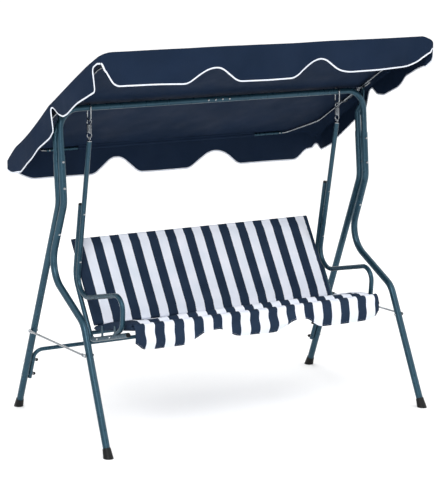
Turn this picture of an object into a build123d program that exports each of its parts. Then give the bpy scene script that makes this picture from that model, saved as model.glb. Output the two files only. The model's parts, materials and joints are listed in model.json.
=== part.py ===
"""Canopy swing bench: a steel tube stand, a sprung swinging bench and a tilting fabric canopy.

Frame: millimetres, +Z up, +X along the bench, the open front faces -Y.
Origin: on the floor, midway between the four feet.
"""
import os
from math import cos, radians, sin

from build123d import *

# ---- Driving dimensions ----------------------------------------------------------------
SIDES = (("left", -1), ("right", 1))

# Stand
LEG_D = 32.0                # leg tube
BAR_D = 28.0                # crossbar tube, which plugs into the legs
WALL = 1.2                  # wall of the painted tubes
LEG_TOP_X = 797.0
LEG_TOP_Z = 1245.0
SPLAY_Z = 1035.0            # the legs spread sideways below this height
FRONT_FOOT = (822.0, -481.0)    # x, y of the axis at the floor
REAR_FOOT = (808.0, 481.0)
BAR_Y = 10.0
BAR_Z = 1447.0
BAR_BEND = 90.0
PLUG_DEPTH = 130.0          # length of crossbar tube inside each leg
FRONT_BENDS = ((-24.0, 1035.0), (114.0, 712.0), (-232.0, 538.0))   # y, z of the corners
FRONT_BEND_R = (100.0, 130.0, 100.0)
REAR_BEND = (24.0, 1030.0)
REAR_BEND_R = 120.0
REAR_TOP_Y = 44.0
LEG_END_Z = 12.0            # the tubes stop short of the floor, inside the foot caps
LEG_BOLT_Z = (1219.0, 1103.0, 890.0)
FOOT_D = (36.0, 48.0)       # foot cap, top and bottom
FOOT_H = 43.0

# Bracing
STRETCHER_D = 19.0
STRETCHER_Z = 295.0
STRETCHER_END_Z = 150.0
STRETCHER_X = 778.5
STRETCHER_BOLT_Z = (241.0, 168.0)
BRACE_D = 10.0
BRACE_Z = (410.0, 400.0)    # at the front leg, at the rear leg

# Bench suspension
HANGER_X = 652.0
STIRRUP_WIRE = 6.0
STIRRUP_R = 17.6            # loop round the crossbar, to the wire's centre
STIRRUP_DROP = 40.0         # straight part of the loop
SPRING_WIRE = 4.0
SPRING_RING_R = 11.0
SPRING_COIL_R = 10.0
SPRING_COIL_H = 36.0
LINK_GAP = 0.3              # clearance between linked rings
EYE_WIRE = 5.0
EYE_R = 7.5
HANGER_TOP_Z = 1300.0

# Bench
HANGER_D = 22.0
HANGER_TOP_Y = 12.0
ARM_REAR = (166.0, 559.0)   # corner where the hanger turns into the armrest
ARM_FRONT = (-305.0, 663.0)
ARM_LOWER = (-290.0, 510.0)
ARM_END = (-222.0, 467.0)
ARM_RADII = (85.0, 60.0, 45.0)
SIDE_TOP = (107.0, 1000.0)  # tube behind each hanger
SIDE_KNEE = (175.0, 660.0)
SIDE_HEEL = (11.0, 397.0)
SIDE_FRONT = (-346.0, 492.6)
SIDE_RADII = (120.0, 35.0)
SLING_D = 19.0
SLING_X = 622.0             # axis of the side tubes of the back and seat frames
BACK_FOOT = (26.0, 470.0)
BACK_TOP = (242.0, 808.0)
SEAT_REAR = (22.0, 447.0)
SEAT_FRONT = (-350.0, 520.0)
SEAT_BOLT_Y = (-65.0, -190.0)
HANGER_BOLT_Z = (960.0, 735.0)
CROSS_TUBE = (50.4, 420.1)
PAD_T = 18.0
PAD_GAP = 1.0
PAD_CORNER = 21.0           # clears the bends of the frame tubes
VALANCE_T = 2.5
SEAT_LOBE_Z = 434.0
SEAT_NOTCH_Z = 484.0

# Canopy
TILT = 28.6                 # the canopy leans back by this much at rest
PIVOT_Y = 10.0
PIVOT_Z = 1458.0
ROOF_HALF_X = 848.0
ROOF_HALF_S = 558.0         # half depth, measured along the slope
ROOF_RIDGE_H = 18.0         # height of the cloth above the rods at the pivot
ROOF_EDGE_H = 13.5          # clears the wings of the pivot nuts
ROOF_T = 3.0
ROD_X = 781.0
ROD_D = 8.0
RAIL_D = 14.0
RAIL_S = 545.0
RAIL_END_X = 640.0
ROD_CORNER_S = 410.0
ROD_START_S = 14.0
CLAMP_S = 160.0
FRONT_LEAN = 10.0           # the end valances hang a little inwards
REAR_LEAN = 8.0
END_DROPS = {"front": (155.0, 94.0), "rear": (130.0, 54.0)}     # lobes, notches
CORNER_DROP = 42.0
FOLD_S = {"front": -563.0, "rear": 560.0}    # where the end valances start, along the slope
SCALLOP_R = 42.0

# Fasteners
BOLT_R = 3.0
HEAD_R = 6.0
HEAD_H = 3.5
FIT = 0.05                  # radial running clearance on the bolts that turn
WING_R = 10.5
WING_T = 3.0
NUT_H = 12.0


# ---- Helpers ---------------------------------------------------------------------------
def save(piece, name):
    """Label one finished piece and write it as its own file."""
    piece.part.label = name
    export_step(piece.part, f"parts/{name}.step")


def rod(points, bends, radius, mode=Mode.ADD):
    """Sweep a round section along straight runs joined by arcs, inside the current part."""
    start = Vector(*points[0])
    with BuildLine() as route:
        if bends:
            FilletPolyline(*points, radius=bends)
        else:
            Line(points[0], points[-1])
    with BuildSketch(Plane(origin=start, z_dir=Vector(*points[1]) - start)) as section:
        Circle(radius)
    sweep(sections=section.sketch, path=route.line, mode=mode)


def tube(points, bends, diameter):
    """A hollow painted tube along a route."""
    rod(points, bends, diameter / 2)
    rod(points, bends, diameter / 2 - WALL, mode=Mode.SUBTRACT)


def bolt(start, end, head_r=HEAD_R, shank_r=BOLT_R):
    """A bolt from start to end, with a domed head before the start and a nut past the end."""
    axis = (Vector(*end) - Vector(*start)).normalized()
    with BuildSketch(Plane(origin=start, z_dir=axis)) as shank:
        Circle(shank_r)
    extrude(shank.sketch, amount=(Vector(*end) - Vector(*start)).length + HEAD_H)
    with BuildSketch(Plane(origin=start, z_dir=-axis)) as head:
        Circle(head_r)
    extrude(head.sketch, amount=HEAD_H, taper=25)
    with BuildSketch(Plane(origin=end, z_dir=axis)) as nut:
        RegularPolygon(radius=head_r, side_count=6)
    extrude(nut.sketch, amount=HEAD_H)


def screw(start, direction, length, head_r, shank_r):
    """A screw whose domed head sits at start and whose shank runs along direction."""
    with BuildSketch(Plane(origin=start, z_dir=direction)) as shank:
        Circle(shank_r)
    extrude(shank.sketch, amount=length)
    with BuildSketch(Plane(origin=start, z_dir=-Vector(*direction))) as head:
        Circle(head_r)
    extrude(head.sketch, amount=head_r / 2, taper=25)


def on_line(start, end, z):
    """The y on the straight line between two (y, z) points at height z."""
    return start[0] + (end[0] - start[0]) * (z - start[1]) / (end[1] - start[1])


def at_slope(s, h):
    """(y, z) of a canopy point: s along the slope towards the rear, h above the rods."""
    lean = radians(TILT)
    return (
        PIVOT_Y + s * cos(lean) + h * sin(lean),
        PIVOT_Z - s * sin(lean) + h * cos(lean),
    )


def height_on(start, end, y):
    """The z on the straight line between two (y, z) points at depth y."""
    return start[1] + (end[1] - start[1]) * (y - start[0]) / (end[0] - start[0])


def leg_x(foot_x, z):
    """Sideways place of a leg's axis at height z."""
    return foot_x + (LEG_TOP_X - foot_x) * min(z / SPLAY_Z, 1)


def leg_route(side, foot, upper):
    """3-D route of a leg: the upper (y, z) points, then straight to the foot."""
    last = (on_line((foot[1], 0), upper[-1], LEG_END_Z), LEG_END_Z)
    return [(side * leg_x(foot[0], z), y, z) for y, z in (*upper, last)]


os.makedirs("parts", exist_ok=True)

# ---- Stand: legs -----------------------------------------------------------------------
front_top = (on_line((BAR_Y, BAR_Z), FRONT_BENDS[0], LEG_TOP_Z), LEG_TOP_Z)
rear_top = (REAR_TOP_Y, LEG_TOP_Z)

for label, side in SIDES:
    with BuildPart() as front_leg:
        tube(leg_route(side, FRONT_FOOT, (front_top, *FRONT_BENDS)), FRONT_BEND_R, LEG_D)
    save(front_leg, f"front_leg_{label}")

    with BuildPart() as rear_leg:
        tube(leg_route(side, REAR_FOOT, (rear_top, REAR_BEND)), (REAR_BEND_R,), LEG_D)
    save(rear_leg, f"rear_leg_{label}")

# Foot caps: flared cups on the tube ends, cut level with the floor
for place, foot, bend in (("front", FRONT_FOOT, FRONT_BENDS[-1]), ("rear", REAR_FOOT, REAR_BEND)):
    for label, side in SIDES:
        sole = Vector(side * foot[0], foot[1], 0)
        knee = Vector(side * leg_x(foot[0], bend[1]), *bend)
        axis = (knee - sole).normalized()
        with BuildPart() as foot_cap:
            with BuildSketch(Plane(origin=sole - axis * FOOT_H / 2, z_dir=axis)):
                Circle(FOOT_D[1] / 2)
            with BuildSketch(Plane(origin=sole + axis * FOOT_H, z_dir=axis)):
                Circle(FOOT_D[0] / 2)
            loft()
            with BuildSketch(Plane(origin=sole + axis * (LEG_END_Z / axis.Z - 0.2), z_dir=axis)):
                Circle(LEG_D / 2 + FIT)
            extrude(amount=FOOT_H, mode=Mode.SUBTRACT)
            split(bisect_by=Plane.XY, keep=Keep.TOP)
        save(foot_cap, f"foot_cap_{place}_{label}")

# ---- Stand: crossbar halves, each an end bend with a rear branch and a canopy post -----
plug_z = LEG_TOP_Z - PLUG_DEPTH
rear_axis = (REAR_BEND, rear_top)
for label, side in SIDES:
    bar_route = [
        (side * 0.5, BAR_Y, BAR_Z),
        (side * LEG_TOP_X, BAR_Y, BAR_Z),
        (side * LEG_TOP_X, on_line((BAR_Y, BAR_Z), FRONT_BENDS[0], plug_z), plug_z),
    ]
    branch_route = [
        (side * LEG_TOP_X, on_line(front_top, (BAR_Y, BAR_Z), 1392), 1392),
        (side * LEG_TOP_X, on_line(*rear_axis, 1340), 1340),
        (side * LEG_TOP_X, on_line(*rear_axis, plug_z), plug_z),
    ]
    with BuildPart() as crossbar:
        rod(bar_route, (BAR_BEND,), BAR_D / 2)
        rod(branch_route, (30,), BAR_D / 2)
        with BuildSketch(Plane.YZ.offset(side * LEG_TOP_X)):
            with Locations((BAR_Y, PIVOT_Z - 30)):
                Rectangle(18, 60)
            with Locations((BAR_Y, PIVOT_Z)):
                Circle(9)
        extrude(amount=2.5, both=True)
        rod(bar_route, (BAR_BEND,), BAR_D / 2 - WALL, mode=Mode.SUBTRACT)
        rod(branch_route, (30,), BAR_D / 2 - WALL, mode=Mode.SUBTRACT)
        with BuildSketch(Plane.YZ.offset(side * LEG_TOP_X)):
            with Locations((BAR_Y, PIVOT_Z)):
                Circle(BOLT_R + FIT)
        extrude(amount=5, both=True, mode=Mode.SUBTRACT)
    save(crossbar, f"crossbar_{label}")

with BuildPart() as crossbar_sleeve:
    tube([(-90, BAR_Y, BAR_Z), (90, BAR_Y, BAR_Z)], (), BAR_D - 2 * WALL - 0.4)
save(crossbar_sleeve, "crossbar_sleeve")

with BuildPart() as splice_bolts:
    for bolt_x in (-55, -18, 18, 55):
        bolt((bolt_x, BAR_Y - BAR_D / 2, BAR_Z), (bolt_x, BAR_Y + BAR_D / 2, BAR_Z), head_r=5)
save(splice_bolts, "splice_bolts")

with BuildPart() as leg_bolts:
    for label, side in SIDES:
        for z in LEG_BOLT_Z:
            upper = z > FRONT_BENDS[0][1]
            front_line = (front_top, FRONT_BENDS[0]) if upper else FRONT_BENDS[:2]
            rear_line = rear_axis if upper else ((REAR_FOOT[1], 0), REAR_BEND)
            x = side * (LEG_TOP_X + leg_x(FRONT_FOOT[0], z)) / 2
            front_y = on_line(*front_line, z) - LEG_D / 2 - 0.5
            bolt((x, front_y, z), (x, on_line(*rear_line, z) + LEG_D / 2 + 0.5, z))
save(leg_bolts, "leg_bolts")

# ---- Stand: rear stretcher and side braces ---------------------------------------------
rear_line = (REAR_BEND, (REAR_FOOT[1], 0))
stretcher_y = on_line(*rear_line, STRETCHER_Z)
stretcher_end_y = on_line(*rear_line, STRETCHER_END_Z)
with BuildPart() as rear_stretcher:
    tube(
        [
            (-STRETCHER_X, stretcher_end_y, STRETCHER_END_Z),
            (-STRETCHER_X, stretcher_y, STRETCHER_Z),
            (STRETCHER_X, stretcher_y, STRETCHER_Z),
            (STRETCHER_X, stretcher_end_y, STRETCHER_END_Z),
        ],
        (40, 40),
        STRETCHER_D,
    )
save(rear_stretcher, "rear_stretcher")

with BuildPart() as stretcher_bolts:
    for label, side in SIDES:
        for z in STRETCHER_BOLT_Z:
            y = on_line(*rear_line, z)
            outer_x = side * (leg_x(REAR_FOOT[0], z) + LEG_D / 2 + 0.5)
            bolt((outer_x, y, z), (side * (STRETCHER_X - STRETCHER_D / 2 - 0.5), y, z))
save(stretcher_bolts, "stretcher_bolts")

with BuildPart() as nut_caps:
    for label, side in SIDES:
        for z in STRETCHER_BOLT_Z:
            tip = Vector(side * (STRETCHER_X - STRETCHER_D / 2 - HEAD_H - 1.5), on_line(*rear_line, z), z)
            with BuildSketch(Plane(origin=tip, z_dir=(-side, 0, 0))):
                Circle(8)
            extrude(amount=9, taper=12)
save(nut_caps, "stretcher_nut_caps")

for label, side in SIDES:
    ends = []
    for foot, line, z, way in (
        (FRONT_FOOT, (FRONT_BENDS[-1], (FRONT_FOOT[1], 0)), BRACE_Z[0], 1),
        (REAR_FOOT, rear_line, BRACE_Z[1], -1),
    ):
        ends.append(Vector(side * (leg_x(foot[0], z) + LEG_D / 2 + BRACE_D / 2 + 1), on_line(*line, z), z))
    run = (ends[1] - ends[0]).normalized()
    flat = Plane(origin=ends[0], x_dir=run, z_dir=Vector(0, 0, 1).cross(run))
    length = (ends[1] - ends[0]).length
    with BuildPart() as side_brace:
        rod([tuple(ends[0] + run * 22), tuple(ends[1] - run * 22)], (), BRACE_D / 2)
        with BuildSketch(flat):
            for middle in (14, length - 14):
                with Locations((middle, 0)):
                    SlotOverall(44, 16)
        extrude(amount=1.5, both=True)
    save(side_brace, f"side_brace_{label}")

with BuildPart() as brace_bolts:
    for label, side in SIDES:
        for foot, line, z in (
            (FRONT_FOOT, (FRONT_BENDS[-1], (FRONT_FOOT[1], 0)), BRACE_Z[0]),
            (REAR_FOOT, rear_line, BRACE_Z[1]),
        ):
            x = leg_x(foot[0], z)
            y = on_line(*line, z)
            outer_x = side * (x + LEG_D / 2 + BRACE_D / 2 + 3)
            bolt((outer_x, y, z), (side * (x - LEG_D / 2 - 0.5), y, z))
save(brace_bolts, "brace_bolts")

# ---- Suspension: stirrups round the crossbar, and the springs that hang in them --------
stirrup_low_z = BAR_Z - STIRRUP_DROP - STIRRUP_R
swing_z = stirrup_low_z + STIRRUP_WIRE / 2 + LINK_GAP + SPRING_WIRE / 2
for label, side in SIDES:
    with BuildPart() as stirrup:
        with BuildLine(Plane.YZ.offset(side * HANGER_X)) as loop:
            front = BAR_Y - STIRRUP_R
            rear = BAR_Y + STIRRUP_R
            low = BAR_Z - STIRRUP_DROP
            Line((front, low), (front, BAR_Z))
            ThreePointArc((front, BAR_Z), (BAR_Y, BAR_Z + STIRRUP_R), (rear, BAR_Z))
            Line((rear, BAR_Z), (rear, low))
            ThreePointArc((rear, low), (BAR_Y, low - STIRRUP_R), (front, low))
        with BuildSketch(Plane(origin=(side * HANGER_X, front, low), z_dir=(0, 0, 1))) as wire:
            Circle(STIRRUP_WIRE / 2)
        sweep(sections=wire.sketch, path=loop.line)
    save(stirrup, f"spring_stirrup_{label}")

ring_top = swing_z - SPRING_RING_R
coil_top = ring_top - SPRING_RING_R - 1
coil_low = coil_top - SPRING_COIL_H
ring_low = coil_low - SPRING_RING_R - 1
for label, side in SIDES:
    with BuildPart() as spring:
        with BuildSketch(Plane.XZ.offset(-BAR_Y)):
            with Locations((side * HANGER_X + SPRING_COIL_R, (coil_top + coil_low) / 2)):
                Rectangle(SPRING_WIRE, SPRING_COIL_H)
        revolve(axis=Axis((side * HANGER_X, BAR_Y, 0), (0, 0, 1)))
        for centre_z in (ring_top, ring_low):
            with Locations(Location((side * HANGER_X, BAR_Y, centre_z), (90, 0, 0))):
                Torus(SPRING_RING_R, SPRING_WIRE / 2)
        for end_z in (coil_top, coil_low):
            with Locations((side * HANGER_X, BAR_Y, end_z)):
                Cylinder(SPRING_COIL_R + 1, SPRING_WIRE)
    save(spring, f"spring_{label}")

# ---- Bench: hangers with armrests, and the eyes that hold them on the springs ----------
eye_z = ring_low - SPRING_RING_R + SPRING_WIRE / 2 + LINK_GAP + EYE_WIRE / 2 - EYE_R
for label, side in SIDES:
    x = side * HANGER_X
    with BuildPart() as hanger_eye:
        with Locations(Location((x, BAR_Y, eye_z), (0, 90, 0))):
            Torus(EYE_R, EYE_WIRE / 2)
        with Locations((x, BAR_Y, (eye_z - EYE_R + HANGER_TOP_Z - 25) / 2)):
            Cylinder(EYE_WIRE / 2, eye_z - EYE_R - HANGER_TOP_Z + 25)
        crown = Vector(x, HANGER_TOP_Y, HANGER_TOP_Z - 3)
        with BuildSketch(Plane(origin=crown, z_dir=crown - Vector(x, *ARM_REAR)).offset(0.1)):
            Circle(HANGER_D / 2)
        extrude(amount=3)
    save(hanger_eye, f"hanger_eye_{label}")

    with BuildPart() as hanger:
        corners = ((HANGER_TOP_Y, HANGER_TOP_Z - 3), ARM_REAR, ARM_FRONT, ARM_LOWER, ARM_END)
        tube([(x, y, z) for y, z in corners], ARM_RADII, HANGER_D)
    save(hanger, f"hanger_{label}")

    with BuildPart() as side_tube:
        corners = (SIDE_TOP, SIDE_KNEE, SIDE_HEEL, SIDE_FRONT)
        tube([(x, y, z) for y, z in corners], SIDE_RADII, HANGER_D)
    save(side_tube, f"side_tube_{label}")

with BuildPart() as tube_plugs:
    for label, side in SIDES:
        for end, corner in ((SIDE_TOP, SIDE_KNEE), (SIDE_FRONT, SIDE_HEEL)):
            tip = Vector(side * HANGER_X, *end)
            out = (tip - Vector(side * HANGER_X, *corner)).normalized()
            with BuildSketch(Plane(origin=tip + out * 0.1, z_dir=out)):
                Circle(HANGER_D / 2)
            extrude(amount=5, taper=15)
save(tube_plugs, "tube_plugs")

# ---- Bench: sling frames, cross tube and padding ---------------------------------------
with BuildPart() as back_frame:
    tube(
        [
            (-SLING_X, *BACK_FOOT),
            (-SLING_X, *BACK_TOP),
            (SLING_X, *BACK_TOP),
            (SLING_X, *BACK_FOOT),
        ],
        (30, 30),
        SLING_D,
    )
save(back_frame, "back_frame")

with BuildPart() as seat_frame:
    tube(
        [
            (-SLING_X, *SEAT_REAR),
            (-SLING_X, *SEAT_FRONT),
            (SLING_X, *SEAT_FRONT),
            (SLING_X, *SEAT_REAR),
        ],
        (30, 30),
        SLING_D,
    )
save(seat_frame, "seat_frame")

with BuildPart() as rear_cross_tube:
    tube([(-HANGER_X - 6, *CROSS_TUBE), (HANGER_X + 6, *CROSS_TUBE)], (), SLING_D)
save(rear_cross_tube, "rear_cross_tube")

pad_half_x = SLING_X - SLING_D / 2 - PAD_GAP


def pad(low, high, low_gap, high_gap):
    """A flat pad between two (y, z) lines, stopping short of each end, inside the current part."""
    along = (Vector(0, *high) - Vector(0, *low)).normalized()
    start = Vector(0, *low) + along * low_gap
    end = Vector(0, *high) - along * high_gap
    face = Plane(origin=(start + end) / 2, x_dir=(1, 0, 0), z_dir=Vector(1, 0, 0).cross(along))
    with BuildSketch(face) as section:
        RectangleRounded(2 * pad_half_x, (end - start).length, PAD_CORNER)
    extrude(section.sketch, amount=PAD_T / 2, both=True)


with BuildPart() as back_pad:
    pad(BACK_FOOT, BACK_TOP, 12, SLING_D / 2 + PAD_GAP)
save(back_pad, "back_pad")

with BuildPart() as seat_pad:
    pad(SEAT_REAR, SEAT_FRONT, 0, SLING_D / 2 + PAD_GAP)
save(seat_pad, "seat_pad")

# Scalloped valance under the front edge of the seat
seat_valance_y = SEAT_FRONT[0] - SLING_D / 2 - VALANCE_T - 1
scallop_top_z = SEAT_FRONT[1] + 4
scallop = [
    (636, scallop_top_z),
    (636, 452),
    (612, SEAT_LOBE_Z),
    (345, SEAT_LOBE_Z),
    (275, SEAT_NOTCH_Z),
    (205, SEAT_NOTCH_Z),
    (135, SEAT_LOBE_Z),
]
scallop_radii = (1, 9, 18, 30, 22, 22, 30)
with BuildPart() as seat_valance:
    with BuildSketch(Plane.XZ.offset(-seat_valance_y)):
        with BuildLine():
            mirrored = [(-x, z) for x, z in reversed(scallop)]
            radii = scallop_radii + tuple(reversed(scallop_radii))
            FilletPolyline(*scallop, *mirrored, close=True, radius=radii)
        make_face()
    extrude(amount=VALANCE_T, both=False)
save(seat_valance, "seat_valance")

with BuildPart() as seat_brackets:
    for label, side in SIDES:
        for y in SEAT_BOLT_Y:
            rail_z = height_on(SIDE_HEEL, SIDE_FRONT, y)
            sling_z = height_on(SEAT_REAR, SEAT_FRONT, y)
            middle_x = side * (HANGER_X + SLING_X) / 2
            with BuildSketch(Plane.YZ.offset(middle_x)):
                with Locations((y, (rail_z + sling_z) / 2)):
                    Rectangle(16, sling_z - rail_z + 20)
            extrude(amount=1.5, both=True)
save(seat_brackets, "seat_brackets")

with BuildPart() as seat_bolts:
    for label, side in SIDES:
        outer_x = side * (HANGER_X + HANGER_D / 2 + 0.5)
        hanger_line = ((HANGER_TOP_Y, HANGER_TOP_Z), ARM_REAR)
        for z in HANGER_BOLT_Z:
            y = on_line(*hanger_line, z)
            start = (side * HANGER_X, y - HANGER_D / 2 - 1, z)
            end = (side * HANGER_X, y + 1.5 * HANGER_D + 5.5, z)
            bolt(start, end, head_r=5)
        for y in SEAT_BOLT_Y:
            rail_z = height_on(SIDE_HEEL, SIDE_FRONT, y)
            x = side * (HANGER_X + SLING_X) / 2
            bolt((outer_x, y, rail_z), (x - side * 2, y, rail_z), head_r=5)
save(seat_bolts, "seat_bolts")

# ---- Canopy: rails, rods and plates ----------------------------------------------------
for place, way in (("front", -1), ("rear", 1)):
    rail = at_slope(way * RAIL_S, 0)
    with BuildPart() as canopy_rail:
        tube([(-RAIL_END_X, *rail), (RAIL_END_X, *rail)], (), RAIL_D)
    save(canopy_rail, f"canopy_{place}_tube")

    for label, side in SIDES:
        route = [
            (side * (RAIL_END_X - 60), *rail),
            (side * (RAIL_END_X + 25), *rail),
            (side * ROD_X, *at_slope(way * ROD_CORNER_S, 0)),
            (side * ROD_X, *at_slope(way * ROD_START_S, 0)),
        ]
        with BuildPart() as canopy_rod:
            rod(route, (40, 60), ROD_D / 2)
        save(canopy_rod, f"canopy_{place}_rod_{label}")

down_slope = (0, cos(radians(TILT)), -sin(radians(TILT)))
slope = Plane(origin=(0, PIVOT_Y, PIVOT_Z), x_dir=down_slope, z_dir=(1, 0, 0))
for label, side in SIDES:
    plate_x = side * (ROD_X + ROD_D / 2 + 2.1)
    with BuildPart() as canopy_plate:
        with BuildSketch(slope.offset(plate_x)):
            with Locations(((CLAMP_S - 70) / 2, 0)):
                SlotOverall(CLAMP_S + 70 + 26, 18)
            Circle(BOLT_R + FIT, mode=Mode.SUBTRACT)
        extrude(amount=2, both=True)
    save(canopy_plate, f"canopy_plate_{label}")

# Bolts that the canopy turns on, fixed in the posts
nut_face_x = ROD_X - ROD_D / 2 - 1.0
with BuildPart() as pivot_bolts:
    for label, side in SIDES:
        with BuildSketch(Plane(origin=(side * (LEG_TOP_X + 2.6), PIVOT_Y, PIVOT_Z), z_dir=(-side, 0, 0))):
            Circle(BOLT_R)
        extrude(amount=LEG_TOP_X + 2.6 - nut_face_x + NUT_H + 3)
        with BuildSketch(Plane(origin=(side * (LEG_TOP_X + 2.6), PIVOT_Y, PIVOT_Z), z_dir=(side, 0, 0))):
            RegularPolygon(radius=HEAD_R, side_count=6)
        extrude(amount=4)
save(pivot_bolts, "canopy_pivot_bolts")

clamp = at_slope(CLAMP_S, 0)
with BuildPart() as clamp_bolts:
    for label, side in SIDES:
        start_x = ROD_X + ROD_D / 2 + 4.3
        with BuildSketch(Plane(origin=(side * start_x, *clamp), z_dir=(-side, 0, 0))):
            Circle(BOLT_R)
        extrude(amount=start_x - nut_face_x + NUT_H + 3)
        with BuildSketch(Plane(origin=(side * start_x, *clamp), z_dir=(side, 0, 0))):
            RegularPolygon(radius=HEAD_R, side_count=6)
        extrude(amount=4)
save(clamp_bolts, "canopy_clamp_bolts")

for place, spot in (("pivot", (PIVOT_Y, PIVOT_Z)), ("clamp", clamp)):
    for label, side in SIDES:
        face = Plane(origin=(side * nut_face_x, *spot), x_dir=(0, 1, 0), z_dir=(-side, 0, 0))
        with BuildPart() as wing_nut:
            with BuildSketch(face):
                Circle(5.5)
            extrude(amount=5)
            with BuildSketch(face.offset(1)):
                Circle(4.2)
                Rectangle(2 * WING_R - 6, WING_T)
                for way in (-1, 1):
                    with Locations((way * (WING_R - 4), 0)):
                        Circle(2.2)
            extrude(amount=NUT_H - 1)
            with BuildSketch(face):
                Circle(BOLT_R + FIT)
            extrude(amount=NUT_H + 1, mode=Mode.SUBTRACT)
        save(wing_nut, f"{place}_wing_nut_{label}")

with BuildPart() as rail_screws:
    for way in (-1, 1):
        for label, side in SIDES:
            y, z = at_slope(way * RAIL_S, 0)
            start = (side * (RAIL_END_X - 14), y - way * RAIL_D / 2, z)
            screw(start, (0, way, 0), RAIL_D - WALL, head_r=4, shank_r=2)
save(rail_screws, "canopy_rail_screws")

# ---- Canopy cloth: the roof sheet and the four hanging valances ------------------------
with BuildPart() as canopy_roof:
    with BuildSketch(Plane.YZ.offset(-ROOF_HALF_X)):
        with BuildLine():
            outer = [(-ROOF_HALF_S, ROOF_EDGE_H), (0, ROOF_RIDGE_H), (ROOF_HALF_S, ROOF_EDGE_H)]
            inner = [(s, h - ROOF_T) for s, h in reversed(outer)]
            Polyline(*[at_slope(s, h) for s, h in outer + inner], close=True)
        make_face()
    extrude(amount=2 * ROOF_HALF_X)
save(canopy_roof, "canopy_roof")

end_radii = (0, 8, SCALLOP_R, SCALLOP_R, SCALLOP_R, SCALLOP_R, SCALLOP_R)
for place, way, lean in (("front", -1, FRONT_LEAN), ("rear", 1, REAR_LEAN)):
    lobe, notch = END_DROPS[place]
    end_scallop = [
        (ROOF_HALF_X - 6, 0),
        (ROOF_HALF_X - 6, -CORNER_DROP),
        (770, -lobe),
        (395, -lobe),
        (315, -notch),
        (215, -notch),
        (135, -lobe),
    ]
    fold_y, fold_z = at_slope(FOLD_S[place], ROOF_EDGE_H - ROOF_T - 2)
    hang = Plane(
        origin=(0, fold_y, fold_z),
        x_dir=(1, 0, 0),
        z_dir=(0, -cos(radians(lean)), way * sin(radians(lean))),
    )
    with BuildPart() as end_valance:
        with BuildSketch(hang):
            with BuildLine():
                mirrored = [(-x, z) for x, z in reversed(end_scallop)]
                radii = end_radii + tuple(reversed(end_radii))
                FilletPolyline(*end_scallop, *mirrored, close=True, radius=radii)
            make_face()
        extrude(amount=-way * VALANCE_T)
    save(end_valance, f"valance_{place}")

side_scallop = [
    (-ROOF_HALF_S + 8, 0),
    (-ROOF_HALF_S + 8, CORNER_DROP),
    (-ROOF_HALF_S + 55, 140),
    (-150, 118),
    (-70, 84),
    (-22, 34),
    (-14, 140),
    (ROOF_HALF_S - 70, 145),
    (ROOF_HALF_S - 8, CORNER_DROP),
    (ROOF_HALF_S - 8, 0),
]
side_radii = (0, 8, 30, 60, 20, 5, 25, 40, 8, 0)
for label, side in SIDES:
    with BuildPart() as side_valance:
        with BuildSketch(Plane.YZ.offset(side * (ROOF_HALF_X - VALANCE_T / 2))):
            with BuildLine():
                outline = []
                for s, drop in side_scallop:
                    y, z = at_slope(s, ROOF_EDGE_H - ROOF_T - 0.5)
                    outline.append((y, z - drop))
                FilletPolyline(*outline, close=True, radius=side_radii)
            make_face()
        extrude(amount=VALANCE_T / 2, both=True)
    save(side_valance, f"valance_{label}")
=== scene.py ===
"""Looks of the canopy swing bench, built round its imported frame.

Metres, +Z up, +X along the bench, the open front faces -Y.
"""
import json
import math

import bpy
import numpy as np
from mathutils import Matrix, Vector


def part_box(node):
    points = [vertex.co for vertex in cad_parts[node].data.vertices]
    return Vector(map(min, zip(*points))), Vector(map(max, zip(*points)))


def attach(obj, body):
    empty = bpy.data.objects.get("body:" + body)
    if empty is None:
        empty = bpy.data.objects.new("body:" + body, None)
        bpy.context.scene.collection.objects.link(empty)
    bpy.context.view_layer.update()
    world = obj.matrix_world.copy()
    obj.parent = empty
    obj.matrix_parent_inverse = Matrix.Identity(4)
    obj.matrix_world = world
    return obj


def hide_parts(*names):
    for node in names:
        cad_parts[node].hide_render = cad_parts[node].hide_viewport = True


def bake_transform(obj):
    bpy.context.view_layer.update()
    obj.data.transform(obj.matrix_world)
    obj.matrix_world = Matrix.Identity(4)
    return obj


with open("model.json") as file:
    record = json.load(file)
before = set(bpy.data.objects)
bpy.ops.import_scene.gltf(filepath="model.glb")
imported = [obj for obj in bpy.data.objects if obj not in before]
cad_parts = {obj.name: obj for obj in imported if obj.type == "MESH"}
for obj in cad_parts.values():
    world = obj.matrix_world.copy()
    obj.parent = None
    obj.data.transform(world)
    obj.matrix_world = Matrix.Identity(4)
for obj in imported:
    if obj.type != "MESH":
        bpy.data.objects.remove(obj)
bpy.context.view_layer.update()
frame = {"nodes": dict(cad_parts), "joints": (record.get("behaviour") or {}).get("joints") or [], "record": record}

# ---- Places taken from the frame ---------------------------------------------------------
joint_place = {j["name"]: j.get("pos_m") for j in frame["joints"]}
PIVOT = Vector(joint_place["canopy_tilt"])
FOLDS = {"front": Vector(joint_place["front_flap_hang"]), "rear": Vector(joint_place["rear_flap_hang"])}
CANOPY_HALF_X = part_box("canopy_roof")[1].x
RAIL_RADIUS = (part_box("canopy_front_tube")[1].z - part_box("canopy_front_tube")[0].z) / 2
ROD_RADIUS = 0.004
ROD_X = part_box("canopy_front_rod_right")[1].x - ROD_RADIUS
SLING_RADIUS = 0.0095
BACK_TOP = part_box("back_frame")[1] - Vector((0, SLING_RADIUS, SLING_RADIUS))
SEAT_FRONT = Vector((0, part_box("seat_frame")[0].y + SLING_RADIUS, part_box("seat_frame")[1].z - SLING_RADIUS))

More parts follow.
